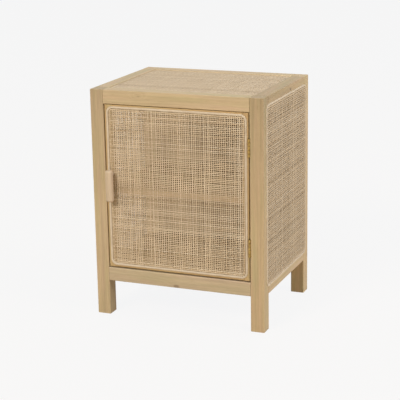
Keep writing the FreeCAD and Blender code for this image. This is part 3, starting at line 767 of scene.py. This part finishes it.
def weavePanel(name, panel, weave):
    rng = random.Random(panel["seed"])
    low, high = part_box(panel["node"])
    across, up, out = (Vector(panel[key]) for key in ("across", "up", "out"))
    size = high - low
    halfWide = abs(size.dot(across)) / 2
    halfHigh = abs(size.dot(up)) / 2
    middle = (low + high) / 2
    face = max(low.dot(out), high.dot(out)) - weave["sheetThick"] / 2
    middle += out * (face - middle.dot(out))

    def uprightLook(beside, run):
        # How wide and how much paler a strand is at this spot
        spot = Vector((beside / weave["closeStep"], run / weave["closeStep"], panel["layer"]))
        along = beside / halfWide
        return 1.0 + panel["close"] * noise.noise(spot) - panel["slack"] * along, panel["fade"] * along

    def crossLook(beside, run):
        return uprightLook(run, beside)

    def uprightPlace(beside, run, rise):
        return middle + across * beside + up * run + out * rise

    def crossPlace(beside, run, rise):
        return middle + across * run + up * beside + out * rise

    uprights, uprightStep = strandSet(rng, halfWide * 2, panel, 0, panel["start"], weave)
    crossers, crossStep = strandSet(rng, halfHigh * 2, panel, 1, 0.0, weave)
    material = caneMaterial(name, caneLook, panel["tone"])
    sets = (
        ("uprights", uprights, crossers, crossStep, halfHigh, halfWide, uprightPlace, uprightLook, 0),
        ("crossers", crossers, uprights, uprightStep, halfWide, halfHigh, crossPlace, crossLook, 1),
    )
    for label, strands, others, step, half, crossHalf, place, lookAt, over in sets:
        build = {"points": [], "faces": [], "tones": [], "runs": []}
        for strand in strands:
            flat = weave["flatShare"] * step
            crossings = [(o, o["set"] + swayAt(o, strand["set"], weave), flat) for o in others]
            reach = halfReach(half, crossHalf, panel["corner"], strand["set"])
            path = strandPath(strand, crossings, reach, panel["tuck"], weave, over)
            addStrand(build, strand, path, place, weave, lookAt)
        piece = strandPiece(f"{name}_{label}", build, material, panel)
        print(piece.name, "has", len(strands), "strands and", len(piece.data.polygons), "faces")


for panelName, panel in canePanels.items():
    weavePanel(panelName, panel, caneWeave)
print("cane woven")

# Metal and plastic

metalFigure = {
    "smudge": {"detail": 4.0, "rough": 0.6},
    "smudgeSpan": (0.3, 0.7),
    "brush": {"detail": 2.0, "rough": 0.5},
    "brushSpan": (0.25, 0.75),
}


def makeMetalGroup(figure):
    group, given, out = newGroup(
        "metalWear",
        {
            "Vector": ("NodeSocketVector", (0.0, 0.0, 0.0)),
            "Smudge Scale": ("NodeSocketFloat", 1.0),
            "Brush Stretch": ("NodeSocketVector", (1.0, 1.0, 1.0)),
        },
        {"Smudge": "NodeSocketFloat", "Brush": "NodeSocketFloat"},
    )
    smudge = noiseOf(group, given["Vector"], dict(figure["smudge"], stretch=given["Smudge Scale"]))
    brush = noiseOf(group, given["Vector"], dict(figure["brush"], stretch=given["Brush Stretch"]))
    feed(group, out["Smudge"], spread(group, smudge, *figure["smudgeSpan"]))
    feed(group, out["Brush"], spread(group, brush, *figure["brushSpan"]))
    return group


metalGroup = makeMetalGroup(metalFigure)

hingeBrass = {
    "bright": (0.60, 0.39, 0.125),
    "dull": (0.32, 0.195, 0.055),
    "rough": (0.28, 0.46),
    "smudgeScale": 160.0,
    "brushStretch": (2400.0, 2400.0, 160.0),
    "bump": 0.10,
    "bumpDepth": 0.0001,
}
screwSteel = dict(hingeBrass)
screwSteel.update({
    "bright": (0.72, 0.71, 0.69),
    "dull": (0.50, 0.49, 0.47),
    "rough": (0.25, 0.45),
})
metals = {"hingeBrass": hingeBrass, "screwSteel": screwSteel}
hingeSeams = {"knuckles": 5, "wide": 0.30, "dark": 0.45}  # wide is a share of a knuckle, both ends together


def seamShade(tree, coords, node, seams):
    # Dark where one knuckle of the barrel ends and the next begins
    low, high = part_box(node)
    parts = addNode(tree, "ShaderNodeSeparateXYZ")
    feed(tree, parts.inputs["Vector"], coords)
    turn = mathOf(tree, "FRACT", spread(tree, parts.outputs["Z"], low.z, high.z, 0.0, seams["knuckles"]))
    away = mathOf(tree, "PINGPONG", turn, 0.5)
    return spread(tree, away, 0.0, seams["wide"] / 2, seams["dark"], 1.0, smooth=True)


def metalMaterial(name, look, hinge=None):
    material, tree, shader = newMaterial(name)
    coords = addNode(tree, "ShaderNodeTexCoord").outputs["Object"]
    scales = {"Smudge Scale": look["smudgeScale"], "Brush Stretch": look["brushStretch"]}
    marks = useGroup(tree, metalGroup, Vector=coords, **scales)
    body = rampOf(tree, marks["Smudge"], ((0.0, look["bright"]), (1.0, look["dull"])))
    if hinge:
        body = mixOf(tree, 1.0, body, seamShade(tree, coords, hinge, hingeSeams), "MULTIPLY")
    feed(tree, shader.inputs["Base Color"], body)
    both = mathOf(tree, "ADD", marks["Smudge"], marks["Brush"])
    feed(tree, shader.inputs["Roughness"], spread(tree, both, 0.0, 2.0, *look["rough"]))
    feed(tree, shader.inputs["Normal"], bumpOf(tree, marks["Brush"], look["bump"], look["bumpDepth"]))
    shader.inputs["Metallic"].default_value = 1.0
    return material


catchPlastic = {
    "light": (0.60, 0.52, 0.42),
    "dark": (0.52, 0.44, 0.35),
    "rough": (0.42, 0.58),
    "speck": {"stretch": (700.0, 700.0, 700.0), "detail": 4.0, "rough": 0.6},
    "speckSpan": (0.3, 0.7),
    "bump": 0.15,
    "bumpDepth": 0.0001,
}
catchFerrite = dict(catchPlastic)
catchFerrite.update({
    "light": (0.075, 0.072, 0.070),
    "dark": (0.040, 0.038, 0.037),
    "rough": (0.45, 0.7),
    "speck": {"stretch": (420.0, 420.0, 420.0), "detail": 4.0, "rough": 0.6},
})
mouldings = {"catchPlastic": catchPlastic, "catchFerrite": catchFerrite}


def mouldedMaterial(name, look):
    material, tree, shader = newMaterial(name)
    coords = addNode(tree, "ShaderNodeTexCoord").outputs["Object"]
    speck = spread(tree, noiseOf(tree, coords, look["speck"]), *look["speckSpan"])
    body = rampOf(tree, speck, ((0.0, look["dark"]), (1.0, look["light"])))
    feed(tree, shader.inputs["Base Color"], body)
    feed(tree, shader.inputs["Roughness"], spread(tree, speck, 0.0, 1.0, *look["rough"]))
    feed(tree, shader.inputs["Normal"], bumpOf(tree, speck, look["bump"], look["bumpDepth"]))
    return material


finishes = {name: metalMaterial(name, look) for name, look in metals.items()}
for level in ("upper", "lower"):
    barrel = f"{level}_hinge_pin"
    finishes[f"{level}HingeBrass"] = metalMaterial(f"{level}HingeBrass", metals["hingeBrass"], barrel)
finishes.update({name: mouldedMaterial(name, look) for name, look in mouldings.items()})
fittings = {
    "upperHingeBrass": ("upper_hinge_frame_leaf", "upper_hinge_door_leaf", "upper_hinge_pin"),
    "lowerHingeBrass": ("lower_hinge_frame_leaf", "lower_hinge_door_leaf", "lower_hinge_pin"),
    "screwSteel": ("shelf_pins", "back_panel_nails", "strike_plate"),
    "catchPlastic": ("catch_housing",),
    "catchFerrite": ("catch_magnet",),
}
for finish, names in fittings.items():
    for fittingName in names:
        wear(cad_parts[fittingName], finishes[finish])
print("fittings finished")

# Screws with a cross recess, where the solids have plain heads

smallScrew = {"head": 0.0024, "tall": 0.0012, "shank": 0.00125, "long": 0.012}
catchScrew = {"head": 0.0025, "tall": 0.0015, "shank": 0.00125, "long": 0.020}
cleatScrew = {"head": 0.0035, "tall": 0.002, "shank": 0.00175, "long": 0.028}
handleScrew = {"head": 0.004, "tall": 0.0024, "shank": 0.002, "long": 0.030}
brassHeads = {"finish": "hingeBrass", "slot": "brass"}
steelHeads = {"finish": "screwSteel", "slot": "steel"}
screwKinds = {
    "hinge_frame_screws": {**smallScrew, **brassHeads, "drive": (1, 0, 0), "body": "cabinet"},
    "hinge_door_screws": {**smallScrew, **brassHeads, "drive": (-1, 0, 0), "body": "door"},
    "cleat_screws": {**cleatScrew, **steelHeads, "drive": (1, 0, 0), "bothWays": True, "body": "cabinet"},
    "handle_screws": {**handleScrew, **steelHeads, "drive": (0, -1, 0), "pan": True, "body": "door"},
    "catch_screws": {**catchScrew, **steelHeads, "drive": (0, 0, 1), "body": "cabinet"},
    "strike_screw": {**smallScrew, **steelHeads, "drive": (0, -1, 0), "body": "door"},
}
recess = {"reach": 0.56, "wide": 0.13, "deep": 0.75}  # shares of the head
screwShape = {
    "sides": 28,
    "panShares": ((0.72, 1.0), (0.9, 0.82), (1.0, 0.45), (1.0, 0.0)),  # of the head, across and up
    "flatShares": ((0.95, 0.0), (1.0, 0.06)),  # of the head, across and down
    "tipShares": (1.6, 0.2),  # of the shank, along and across
    "apart": 1.15,  # corners further off than this share of the length belong to another screw
}


def screwSpots(node, far):
    # The solids of one node, told apart by distance: each one's lowest and highest corner
    heaps = []
    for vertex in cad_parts[node].data.vertices:
        for heap in heaps:
            if (vertex.co - heap[0]).length < far:
                heap.append(vertex.co.copy())
                break
        else:
            heaps.append([vertex.co.copy()])
    boxes = []
    for heap in heaps:
        low = Vector([min(co[axis] for co in heap) for axis in range(3)])
        high = Vector([max(co[axis] for co in heap) for axis in range(3)])
        boxes.append((low, high))
    return boxes


def screwRings(kind, shares):
    # Radius and depth along the screw, from the rim of the head's top to the tip
    head, tall, shank, long = kind["head"], kind["tall"], kind["shank"], kind["long"]
    if kind.get("pan"):
        rings = [(head * wide, -tall * high) for wide, high in shares["panShares"]]
        rings.append((shank, 0.0))
    else:
        rings = [(head * wide, tall * deep) for wide, deep in shares["flatShares"]]
        rings.append((shank, tall))
    tipLong, tipWide = shares["tipShares"]
    return rings + [(shank, long - shank * tipLong), (shank * tipWide, long)]


def around(ring):
    return list(zip(ring, ring[1:] + ring[:1]))


def bridge(shape, first, second):
    for (near, nearNext), (far, farNext) in zip(around(first), around(second)):
        shape.faces.new((near, nearNext, farNext, far))


def addScrew(shape, kind, place, drive):
    turn = drive.to_track_quat("Z", "X").to_matrix().to_4x4()
    seat = Matrix.Translation(place) @ turn
    outline = screwRings(kind, screwShape)
    rings = []
    for radius, depth in outline:
        ring = []
        for step in range(screwShape["sides"]):
            angle = math.tau * step / screwShape["sides"]
            spot = Vector((radius * math.cos(angle), radius * math.sin(angle), depth))
            ring.append(shape.verts.new(seat @ spot))
        rings.append(ring)
    for first, second in zip(rings, rings[1:]):
        bridge(shape, first, second)
    shape.faces.new(rings[-1])
    arm = kind["head"] * recess["reach"]
    half = kind["head"] * recess["wide"]
    cross = []
    for quarter in range(4):
        spin = Matrix.Rotation(math.pi / 2 * quarter, 3, "Z")
        for corner in ((arm, -half), (arm, half), (half, half)):
            cross.append(spin @ Vector((*corner, 0.0)))
    top = outline[0][1]
    loops = []
    for depth in (top, top + kind["tall"] * recess["deep"]):
        loops.append([shape.verts.new(seat @ (spot + Vector((0.0, 0.0, depth)))) for spot in cross])
    bridge(shape, *loops)
    shape.faces.new(loops[1])
    edges = [shape.edges.get(pair) for pair in around(loops[0]) + around(rings[0])]
    bmesh.ops.triangle_fill(shape, edges=edges, use_beauty=True)


def screwPiece(node, kind):
    shape = bmesh.new()
    drive = Vector(kind["drive"])
    spots = screwSpots(node, kind["long"] * screwShape["apart"])
    for low, high in spots:
        middle = (low + high) / 2
        way = drive.copy()
        if kind.get("bothWays") and middle.dot(drive) < 0.0:
            way = -drive
        reach = abs((high - low).dot(drive)) / 2
        seat = middle - way * (reach - (kind["tall"] if kind.get("pan") else 0.0))
        addScrew(shape, kind, seat, way)
    bmesh.ops.recalc_face_normals(shape, faces=shape.faces)
    mesh = bpy.data.meshes.new(f"{node}_cross")
    shape.to_mesh(mesh)
    shape.free()
    piece = bpy.data.objects.new(f"{node}_cross", mesh)
    bpy.context.scene.collection.objects.link(piece)
    wear(piece, finishes[kind["finish"]])
    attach(piece, kind["body"])
    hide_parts(node)
    print(piece.name, "has", len(spots), "screws")


for nodeName, kind in screwKinds.items():
    screwPiece(nodeName, kind)
